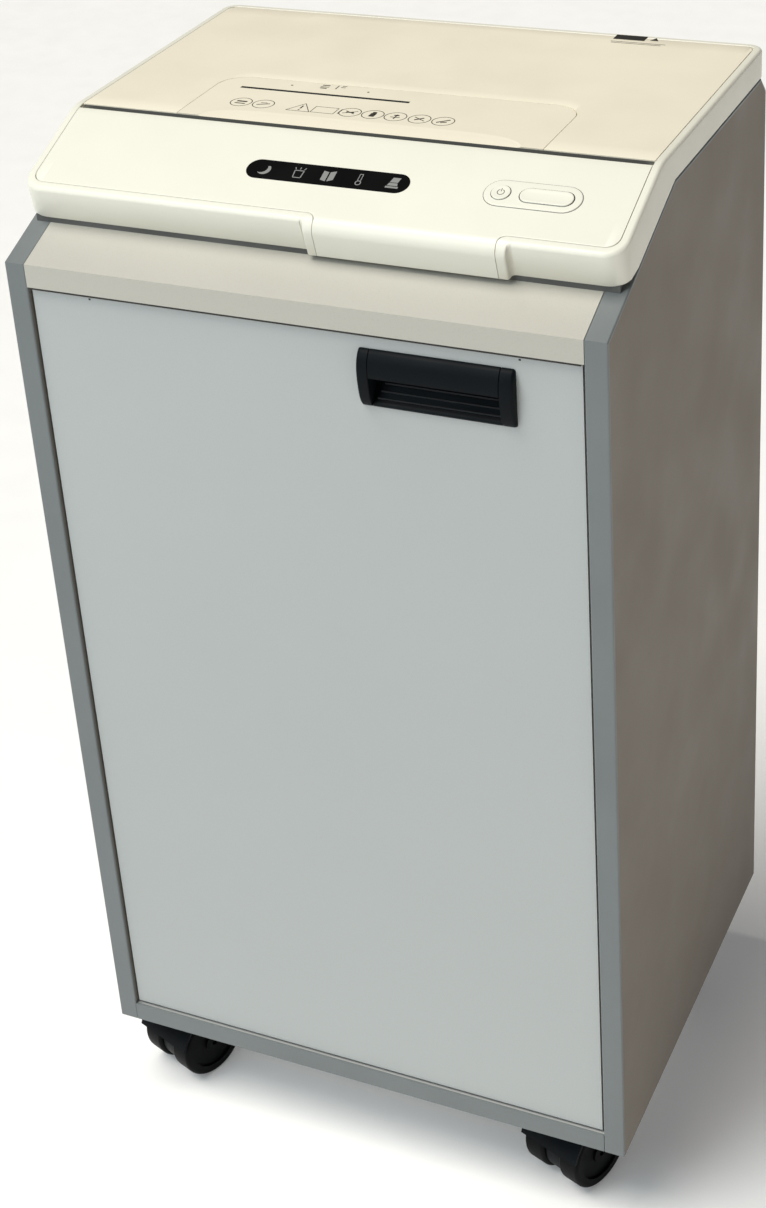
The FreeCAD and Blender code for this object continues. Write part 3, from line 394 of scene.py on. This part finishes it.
# the frame's strip down each side of the tab, and its sweep into the front skirt
NOSE = HEAD_FRONT - TAB_PROUD
sweep = arc((-3.6, NOSE + 1.5), 3.0, 90, 0, 6) + arc((0.9, NOSE + 1.5), 1.5, 180, 270, 5)
sweep += [(inward, NOSE) for inward in (2, 3, 4, 4.8, 5.4, 5.8, 6.05, 6.2, STRIP)]
for side, edge_x, way in (("left", TAB[0], 1), ("right", TAB[1], -1)):
    loops = []
    for inward, nose in sweep:
        radius = RIM + (TAB_RADIUS - RIM) * (HEAD_FRONT - nose) / TAB_PROUD
        outline = front_profile(nose, radius, seat_edge(inward), 3.2, (36.2, 36.5))
        loops.append([at(edge_x + way * inward, y, z) for y, z in outline])
    loft("tab_strip_" + side, loops, "cream", "cabinet", angle=40)

# ---------------------------------------------------------------- loose panels of the head

PANEL_GAP = 0.45
PANEL_EDGE = BEZEL + PANEL_GAP
PANEL_THICK = 2.8
SLOT_FRONT = 108.5
SLOT_BACK = 114.0
SLOPE_ROWS = [60, 80, 95, 102, 103, 104, 105, 106, 107]


def panel_column(x, front, back, ease=0.5):
    """One lengthways section of a panel that lies in the head's top, its edges eased."""
    rows = [(front, ease + 0.4), (front + ease * 0.3, ease * 0.3), (front + ease, 0)]
    if back == SLOT_FRONT:
        spots = [max(front + ease, y) for y in (32, 33, 34, 35.5, 38)]
        spots += SLOPE_ROWS
    else:
        spots = [front + ease + (back - front - 2 * ease) * step / 14 for step in range(1, 14)]
    rows += [(y, 0) for y in spots]
    rows += [(back - ease, 0), (back - ease * 0.3, ease * 0.3), (back, ease + 0.4)]
    loop = [at(x, y, nose_height(y, NOSE, TAB_RADIUS) - drop) for y, drop in rows]
    loop += [at(x, y, nose_height(y, NOSE, TAB_RADIUS) - PANEL_THICK) for y in (back, front)]
    return loop


def panel_columns(xs, front_of, back_of):
    """The panel's sections at the places along X, between its front and back edges."""
    return [panel_column(x, front_of(x), back_of(x)) for x in xs]


def corner_xs(edge, radius, steps=10):
    """Places along X that follow a corner's arc, from the straight side in."""
    return [edge - radius * (1 - math.sin(math.radians(90 * step / steps))) for step in range(steps + 1)]


def rounded_edge(x, half, radius, level, sign):
    """The panel's edge level, pulled in by its corner's arc."""
    over = abs(x) - (half - radius)
    if over <= 0:
        return level
    return level + sign * (radius - math.sqrt(max(0, radius ** 2 - over ** 2)))


HALF = HALF_WIDTH - PANEL_EDGE
CORNER = 8.6
TAB_CORNER = PANEL_EDGE  # radius of the panel's turn down round the frame, where the tab leaves it


def control_front(x):
    """The control panel's front edge; by the tab it turns down round the frame's inner corner."""
    inward = min(x - TAB[0], TAB[1] - x)
    if inward > 0.25:
        return HEAD_FRONT + math.sqrt(max(0, TAB_CORNER ** 2 - (inward - 0.25) ** 2))
    return rounded_edge(x, HALF, CORNER, HEAD_FRONT + PANEL_EDGE, 1)


def slot_edge(x):
    """The control panel's back edge, straight along the slot."""
    return SLOT_FRONT


edge = corner_xs(HALF, CORNER)
turning = [0.25, 2, 3.5, 4.6, 5.4, 6.0, 6.4, 6.62, 6.7]
left_xs = [-x for x in edge[::-1]] + [-150, -80] + [TAB[0] + inward for inward in turning]
right_xs = [TAB[1] - inward for inward in turning[::-1]] + [160, 180] + edge
apron = front_profile(NOSE, TAB_RADIUS, SLOT_FRONT, PANEL_THICK, [36.5, 38] + SLOPE_ROWS + [108])
control_apron = extrude(apron, TAB[0] + turning[-1], TAB[1] - turning[-1], "control_panel_apron", "cream", "cabinet")
left_columns = panel_columns(sorted(left_xs), control_front, slot_edge)
control_left = loft("control_panel_left", left_columns, "cream", "cabinet")
right_columns = panel_columns(sorted(right_xs), control_front, slot_edge)
control_right = loft("control_panel_right", right_columns, "cream", "cabinet")
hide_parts("control_panel")

PLATE_HALF = 137.0
PLATE_BACK = 194.0
PLATE_ROUND = 20.0


def plate_edge(x, gap):
    """The feed plate's back edge with its rounded corners, or the top panel's edge a gap away from it."""
    half, radius = PLATE_HALF + gap, PLATE_ROUND + gap
    return rounded_edge(x, half, radius, PLATE_BACK + gap, -1)


def top_front(x):
    """The top panel's front edge: round the feed plate, then along the slot."""
    return plate_edge(x, PANEL_GAP) if abs(x) < PLATE_HALF + PANEL_GAP else SLOT_BACK


def top_back(x):
    """The top panel's back edge."""
    return rounded_edge(x, HALF, CORNER, HEAD_BACK - PANEL_EDGE, -1)


def mirrored(xs):
    """Places along X on both sides of the middle, in order and each once."""
    right = sorted(set(round(x, 4) for x in xs))
    return [-x for x in right[::-1] if x > 0] + right


cutout = PLATE_HALF + PANEL_GAP
inner = corner_xs(cutout, PLATE_ROUND + PANEL_GAP)
top_xs = mirrored([0, 60] + inner + [cutout - 0.0001, cutout + 0.0001, 170, 190] + edge)
top = loft("top_panel_sheet", panel_columns(top_xs, top_front, top_back), "cream_top", "cabinet")
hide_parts("top_panel")


SCOOP_HALF = 121
SCOOP_LENGTH = 17
SCOOP_DEPTH = 2.9
SCOOP_STEP = 0.25  # the small step down at the scoop's rim


def scoop_rim(x):
    """Back edge of the shallow scoop that leads paper into the slot, pulled in at its ends."""
    return SLOT_BACK + SCOOP_LENGTH * max(0, 1 - (abs(x) / SCOOP_HALF) ** 7) ** 0.6


def plate_height(x, y):
    """The feed plate's surface: level with the top, and sunk inside the scoop."""
    rim = scoop_rim(x)
    if y >= rim:
        return top_height(y)
    share = (rim - y) / SCOOP_LENGTH
    return top_height(y) - SCOOP_DEPTH * share ** 1.35 - SCOOP_STEP * min(1, share * 12)


def feed_plate_column(x):
    """One lengthways section of the feed plate, from the slot to its back edge."""
    back = plate_edge(x, 0)
    rim = scoop_rim(x)
    rows = [SLOT_BACK + (rim - SLOT_BACK) * step / 9 for step in range(10)]
    rows += [rim + 0.02 + (back - 0.5 - rim) * step / 9 for step in range(10)]
    loop = [at(x, SLOT_BACK, plate_height(x, SLOT_BACK) - 0.4)]
    loop += [at(x, y, plate_height(x, y)) for y in rows]
    loop += [at(x, back - 0.15, top_height(back) - 0.2), at(x, back, top_height(back) - 0.7)]
    loop += [at(x, back, top_height(back) - 3.4), at(x, SLOT_BACK, top_height(SLOT_BACK) - 4.4)]
    return loop


scoop_xs = [0, 30, 60, 80, 95, 104, 110, 114, 117, 119, 120.2, 120.8, SCOOP_HALF]
plate_columns = [feed_plate_column(x) for x in mirrored(scoop_xs + corner_xs(PLATE_HALF, PLATE_ROUND))]
plate = loft("feed_plate_sheet", plate_columns, "cream_top", "cabinet", angle=25)
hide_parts("feed_plate")

# ---------------------------------------------------------------- slots


def carve(piece, loops):
    """Cuts the space between two closed loops of points out of a piece."""
    tool = loft("cutter", loops, "groove", None)
    modifier = piece.modifiers.new("carve", "BOOLEAN")
    modifier.operation = "DIFFERENCE"
    modifier.solver = "EXACT"
    modifier.material_mode = "TRANSFER"
    modifier.object = tool
    graph = bpy.context.evaluated_depsgraph_get()
    graph.update()
    mesh = bpy.data.meshes.new_from_object(piece.evaluated_get(graph))
    mesh.set_sharp_from_angle(angle=math.radians(25))
    piece.modifiers.clear()
    piece.data = mesh
    bpy.data.objects.remove(tool)


DISC_SLOT = [(-117, 171.4), (15.5, 171.4), (15.5, 174.6), (-117, 174.6)]
carve(plate, [[at(x, y, z) for x, y in DISC_SLOT] for z in (750, 765)])
# dark linings on the slot's front and back walls, just below the top: painted shade inside the slot
for name, y in (("slot_lip_front", SLOT_FRONT + 0.05), ("slot_lip_back", SLOT_BACK - 0.55)):
    top_edge = top_height(y) - 0.75
    lip = [(y, top_edge - 7), (y + 0.5, top_edge - 7), (y + 0.5, top_edge), (y, top_edge)]
    extrude(lip, -213, 213, name, "lip", "cabinet")

# ---------------------------------------------------------------- flat marks

SLOPE = math.atan(RISE)
PRINT_LIFT = 0.05


def top_point(x, y, lift=0.0):
    """A point of the head's top, raised along the surface's normal."""
    if y < SLOT_FRONT:
        return at(x, y - lift * math.sin(SLOPE), top_height(y) + lift * math.cos(SLOPE))
    return at(x, y, top_height(y) + lift)


def top_shape(x, y, polygon, lift):
    """A polygon laid on the head's top about (x, y), in the surface's plane."""
    run = math.cos(SLOPE) if y < SLOT_FRONT else 1.0
    return [top_point(x + u, y + v * run, lift) for u, v in polygon]


def marks(name, shapes, look, lift, body="cabinet"):
    """Flat printed shapes: each is a centre (x, y) and a polygon about it, in the surface's plane."""
    points, faces = [], []
    for (x, y), polygon in shapes:
        faces.append(tuple(range(len(points), len(points) + len(polygon))))
        points += top_shape(x, y, polygon, lift)
    return solid(name, points, faces, look, body)


def ring(radius, width, start=0, end=360, steps=28):
    """A ring or part of one, as quads."""
    outer = arc((0, 0), radius, start, end, steps)
    inner_arc = arc((0, 0), radius - width, start, end, steps)
    return [[outer[i], outer[i + 1], inner_arc[i + 1], inner_arc[i]] for i in range(steps)]


def bar(u0, v0, u1, v1, width):
    """A straight stroke from one point to another, as a polygon."""
    along = Vector((u1 - u0, v1 - v0)).normalized() * width / 2
    side = Vector((-along.y, along.x))
    return [(u0 + side.x, v0 + side.y), (u1 + side.x, v1 + side.y), (u1 - side.x, v1 - side.y),
            (u0 - side.x, v0 - side.y)]


def frame_of(points, width):
    """The outline of a polygon, drawn with bars."""
    return [bar(*points[i], *points[(i + 1) % len(points)], width) for i in range(len(points))]


def placed(centre, polygons):
    """The polygons of one figure, each with the figure's centre."""
    return [(centre, polygon) for polygon in polygons]


# status symbols on the display: sleep, bin, door, heat, sheets
SYMBOL_ROW = 69.5
crescent = arc((0, 0), 5.0, -150, 40, 14) + arc((-2.2, 1.2), 4.6, 25, -135, 12)
bin_sign = frame_of([(-3.4, 2), (3.4, 2), (2.8, -4.6), (-2.8, -4.6)], 0.7)
bin_sign += [bar(-3, 2.9, -4, 4.8, 0.6), bar(0, 3.1, 0, 5.2, 0.6), bar(3, 2.9, 4, 4.8, 0.6)]
door_sign = [[(-4.6, -4.2), (-0.6, -5.2), (-0.6, 3.6), (-4.6, 4.4)], [(0.5, -5.2), (4.6, -3.2), (4.6, 5), (0.5, 3.6)]]
heat_sign = ring(2.2, 0.7)
heat_sign += [bar(-1.1, 1.6, -1.1, 8.0, 0.55), bar(1.1, 1.6, 1.1, 8.0, 0.55), bar(-1.3, 8.1, 1.3, 8.1, 0.6)]
sheets_sign = [[(-4.6, -4.8), (4.6, -4.8), (4.6, -3.2), (-4.6, -3.2)], [(-3.8, -2.6), (3.8, -2.6), (3, 0), (-3, 0)],
               [(-2.8, 0.5), (3, 0.5), (4, 5), (-1.6, 5)]]
symbols = placed((-47, SYMBOL_ROW), [crescent]) + placed((-21, SYMBOL_ROW), bin_sign)
symbols += placed((1, SYMBOL_ROW), door_sign) + placed((24, SYMBOL_ROW - 3.1), heat_sign)
symbols += placed((48.5, SYMBOL_ROW), sheets_sign)
marks("display_symbols", symbols, "icon", 0.27)

# the row of pictograms on the feed plate: rings, a triangle and a card, with plain figures in them
SIGN_ROW = 144.5
figures = {
    -102: [bar(-4, 1.5, 4, 1.5, 2.2), bar(-4, -2.4, 4, -2.4, 1.4)],
    -84.4: [bar(-4.5, -2, 4.5, 1.5, 1.2), bar(-3, 2.2, 2, 2.6, 0.8)],
    -16.9: [bar(-5, -2.5, 5, 3, 0.8), bar(-4, 2.4, 4, -2.4, 0.8), bar(-3, 0, 3, 0, 1.6)],
    0.4: [bar(0, -4, 0, 2.5, 4.2), ring(2.0, 1.9, steps=10)[0], bar(-1.5, 3.8, 1.5, 3.8, 2.4)],
    17.5: [bar(0, -4, 0, 4, 1.0), bar(-3.5, -1, 3.5, -1, 1.0), bar(-2, 2.5, 2, 2.5, 1.6)],
    35.5: [bar(-4.6, 3, 4.6, -3, 0.8), bar(-3, -2.2, 2.6, 2.4, 1.6)],
    53.1: [bar(-4, -3, 4, 3.4, 1.5), bar(-1, -2.8, 3, -1.2, 1.3)],
}
triangle = frame_of([(-9, -6.4), (9, -6.4), (0, 8.2)], 0.6) + [bar(0, -1.6, 0, 4, 1.2), bar(0, -4.6, 0, -3.4, 1.3)]
card = frame_of([(-9.5, -6), (8, -6), (8, 5), (-9.5, 5)], 0.55) + [bar(11, -4.5, 11, 4, 0.9)]
disc_sign = [bar(-3, 2.6, 3, 2.6, 1.4), bar(-3.4, -0.4, 3.4, -0.4, 0.9), bar(-2.6, -3, 2.6, -3, 1.6)]
sheet_sign = [bar(-2.6, -3.6, -2.6, 3.6, 0.8), bar(0, 0.5, 3.6, 0.5, 0.9), bar(0.4, 2.8, 3.6, 3.4, 0.9)]
signs = []
for x, figure in figures.items():
    signs += placed((x, SIGN_ROW), ring(8.2, 0.65) + figure)
signs += placed((-54.8, SIGN_ROW), triangle) + placed((-35.6, SIGN_ROW), card)
signs += placed((-57, 188), disc_sign) + placed((-45, 188.7), sheet_sign)
signs += [((x, 185), arc((0, 0), 0.9, 0, 324, 9)) for x in (-81.9, -21.6)]
marks("plate_symbols", signs, "print", PRINT_LIFT)

# a small label near the back right corner, with a pointer and two lines under it
marks("label_marks", [((120, 341), [(-12, -5), (12, -5), (12, 5), (-12, 5)])], "dark_print_and_shadow", PRINT_LIFT)
label_lines = [((139, 341), [(-3.4, -3), (3.4, -3), (0, 3.4)])]
label_lines += [((129, 331 - row * 2.6), bar(-21 + row, 0, 21 - row * 3, 0, 0.8)) for row in range(2)]
marks("label_lines", label_lines, "print", PRINT_LIFT)

# ---------------------------------------------------------------- buttons


def pill_plan(length, width, steps=14):
    """A round-ended outline about its centre, counter-clockwise; a circle if the two are equal."""
    half = (length - width) / 2
    right = [(half + u, v) for u, v in arc((0, 0), width / 2, -90, 90, steps)]
    left = [(-half + u, v) for u, v in arc((0, 0), width / 2, 90, 270, steps)]
    return right + left


def cap(name, x, y, length, width, low, high, ease, look, body, dish=0.0):
    """A button: a round-ended plate that lies in the slope, with an eased rim and a slightly dished top."""
    levels = [(0, low), (0, high - ease)]
    levels += [(ease * (1 - math.cos(math.radians(turn))), high - ease * (1 - math.sin(math.radians(turn))))
               for turn in (25, 50, 75, 90)]
    levels += [(ease + width * 0.12, high - dish * 0.6), (ease + width * 0.25, high - dish)]
    loops = [top_shape(x, y, pill_plan(length - 2 * inset, width - 2 * inset), level) for inset, level in levels]
    return loft(name, loops, look, body)


BUTTON_ROW = 71.2
PLATE_X, POWER_X, ROCKER_X = 145.7, 123.8, 155.3
HOLE_WIDTH = 13.9
POWER_HOLE = (POWER_X, HOLE_WIDTH)
ROCKER_HOLE = (ROCKER_X, 37.9)
# a dark rim round the foot of the button plate: painted shadow of the seam
outline = cap("button_seam_shadow", PLATE_X, BUTTON_ROW, 67.9, 24.4, -2, 0.12, 0.1, "line", "cabinet")
surround = cap("button_plate", PLATE_X, BUTTON_ROW, 67, 23.5, -2, 0.55, 0.45, "cream", "cabinet")
for pierced, holes in ((control_apron, (POWER_HOLE,)), (control_right, (ROCKER_HOLE,)),
                       (outline, (POWER_HOLE, ROCKER_HOLE)), (surround, (POWER_HOLE, ROCKER_HOLE))):
    for x, length in holes:
        carve(pierced, [top_shape(x, BUTTON_ROW, pill_plan(length, HOLE_WIDTH), level) for level in (-7, 3)])
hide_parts("button_surround")
power = cap("power_button_cap", POWER_X, BUTTON_ROW, 13, 13, -5.5, 1.3, 0.5, "cream", "power_key", 0.25)
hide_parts("power_button")
rocker = cap("feed_rocker_cap", ROCKER_X, BUTTON_ROW, 36.6, 12.8, -5.5, 1.3, 0.6, "cream", "feed_key", 0.35)
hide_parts("feed_rocker")
strokes = ring(2.6, 0.5, 115, 425, 20) + [bar(0, 0.6, 0, 3.4, 0.5)]
marks("power_symbol", placed((POWER_X, BUTTON_ROW), strokes), "print", 1.09, "power_key")

# ---------------------------------------------------------------- door pull

DOOR_FACE = 3.0
PULL_MIDDLE = 635.5
# the pull's cross-section as (y, z) outlines: rim, scoop floor, inside of the hood, the hood's bow and the hidden back
bow = [(-4.0, 640.0), (-3.95, 643.5), (-3.4, 647.5), (-2.3, 651.0), (-0.6, 654.0), (1.2, 655.9), (DOOR_FACE, 656.5)]
scoop_floor = [(3.0, 618.3), (5.5, 620.4), (8.0, 623.3), (10.5, 626.6), (13.5, 631.0), (16.0, 636.0), (17.6, 642.0),
               (17.4, 647.5), (15.0, 651.0), (10.0, 652.0), (4.0, 651.6)]
hood_inside = [(0.8, 649.8), (-0.9, 646.6), (-1.9, 642.6), (-2.3, 639.2), (-2.9, 637.6), (-3.7, 637.8)]
shell_back = [(3.05, 653.4), (12.0, 653.4), (17.0, 652.4), (19.0, 648.0), (19.1, 642.0), (17.4, 635.4),
              (14.7, 630.0), (11.6, 625.6), (8.5, 621.6), (5.2, 618.4), (3.05, 617.6)]
rim = [(DOOR_FACE, 614.5), (1.5, 615.0), (0.8, 616.2), (1.4, 617.5)]
pull = extrude(rim + scoop_floor + hood_inside + bow + shell_back, 55.6, 146.9, "door_pull", "black", "door", 40)
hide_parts("pull_handle")
cap_side = [(-4.0, 636.0), (-3.3, 629.0), (-2.0, 622.0), (-0.4, 617.5), (1.2, 615.2), (DOOR_FACE, 614.5)]


def drawn_in(profile, inset):
    """The side outline of an end cap, pulled in towards the door by inset."""
    return [(min(DOOR_FACE, y + inset),
             z + (inset if z < PULL_MIDDLE else -inset) * min(1, abs(z - PULL_MIDDLE) / 15)) for y, z in profile]


for side, outer_x, inner_x in (("left", 47.0, 55.3), ("right", 157.0, 147.2)):
    way = 1 if side == "left" else -1
    outline = cap_side[::-1] + bow
    loops = []
    for x, inset in ((outer_x, 1.4), (outer_x + way * 0.4, 0.6), (outer_x + way * 1.2, 0.12), (outer_x + way * 2, 0),
                     (inner_x - way * 0.4, 0), (inner_x, 0.4)):
        loops.append([at(x, y, z) for y, z in drawn_in(outline, inset)])
    loft("pull_cap_" + side, loops, "black", "door", angle=40)
    walls = scoop_floor + [(3.05, 652.0)]
    extrude(walls, inner_x - way * 2.5, inner_x + way * 0.2, "pull_wall_" + side, "black", "door")
for number, (depth, level, start) in enumerate(((4.6, 619.7, 58.0), (8.0, 623.4, 59.5), (11.3, 627.8, 61.0))):
    ridge = [(depth + 0.9, level - 0.2), (depth - 0.1, level - 0.9), (depth - 0.95, level + 0.1),
             (depth - 0.75, level + 0.85), (depth + 0.4, level + 0.7)]
    extrude(ridge, start, 145.8, "pull_rib_%d" % (number + 1), "ridge", "door")

# a dark strip in the gap under the front board, painted shadow of the board's overhang, and two small chips in the
# door's face near its top edge
gap = [(0.3, 667.7), (0.3, 666.3), (2.8, 666.3), (2.8, 668.7)]
extrude(gap, -201.8, 201.8, "door_gap", "dark_print_and_shadow", "cabinet")
for number, x in enumerate((-156.0, 160.0)):
    chip = [(DOOR_FACE - 0.03, 664.2), (DOOR_FACE + 0.4, 664.3), (DOOR_FACE + 0.4, 662.6), (DOOR_FACE - 0.03, 662.9)]
    extrude(chip, x - 0.8, x + 0.8, "door_chip_%d" % (number + 1), "dark_print_and_shadow", "door")

# ---------------------------------------------------------------- eased board edges

for name, ease in (("door_panel", 0.6), ("front_rail", 0.9), ("bottom_board", 0.6)):
    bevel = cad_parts[name].modifiers.new("eased", "BEVEL")
    bevel.width = ease / 1000
    bevel.segments = 3
    bevel.limit_method = "ANGLE"

# ---------------------------------------------------------------- light and floor


def area_light(name, place, target, size, power, colour):
    """A soft panel of light that faces its target."""
    data = bpy.data.lights.new(name, "AREA")
    data.shape = "RECTANGLE"
    data.size, data.size_y = size
    data.energy = power
    data.color = colour
    lamp = bpy.data.objects.new(name, data)
    lamp.location = place
    lamp.rotation_mode = "QUATERNION"
    lamp.rotation_quaternion = (Vector(target) - Vector(place)).to_track_quat("-Z", "Y")
    bpy.context.scene.collection.objects.link(lamp)


area_light("key", (-0.9, -1.75, 2.0), (0, 0, 0.65), (1.2, 1.2), 17, (0.78, 0.93, 1.0))
area_light("front", (-0.6, -3.0, 1.0), (0, 0, 0.45), (2.0, 1.4), 4.5, (0.88, 0.96, 1.0))
area_light("low_right", (1.3, -0.5, 0.12), (0.22, 0, 0.05), (0.6, 0.2), 1.2, (1.0, 0.95, 0.88))

overhead = bpy.data.lights.new("overhead", "SUN")
overhead.energy = 2.9
overhead.angle = math.radians(36)
overhead.color = (1.0, 0.97, 0.90)
lamp = bpy.data.objects.new("overhead", overhead)
lamp.rotation_euler = (math.radians(13), math.radians(-18), 0)
bpy.context.scene.collection.objects.link(lamp)

bpy.context.scene.view_settings.view_transform = "Standard"
world = bpy.data.worlds.new("studio")
world.use_nodes = True
world.node_tree.nodes["Background"].inputs["Color"].default_value = (0.95, 0.96, 1.0, 1)
world.node_tree.nodes["Background"].inputs["Strength"].default_value = 0.08
bpy.context.scene.world = world

floor_mesh = bpy.data.meshes.new("floor")
floor_mesh.from_pydata([(-12, -12, 0), (12, -12, 0), (12, 12, 0), (-12, 12, 0)], [], [(0, 1, 2, 3)])
floor_paint = surface("floor_paint", (0.86, 0.86, 0.86), 0.7, 40, 0.0002, 0.01)
floor_shader = floor_paint.node_tree.nodes["Principled BSDF"]
floor_shader.inputs["Emission Color"].default_value = (1.0, 1.0, 1.0, 1)
floor_shader.inputs["Emission Strength"].default_value = 0.14
floor_mesh.materials.append(floor_paint)
floor = bpy.data.objects.new("floor", floor_mesh)
bpy.context.scene.collection.objects.link(floor)
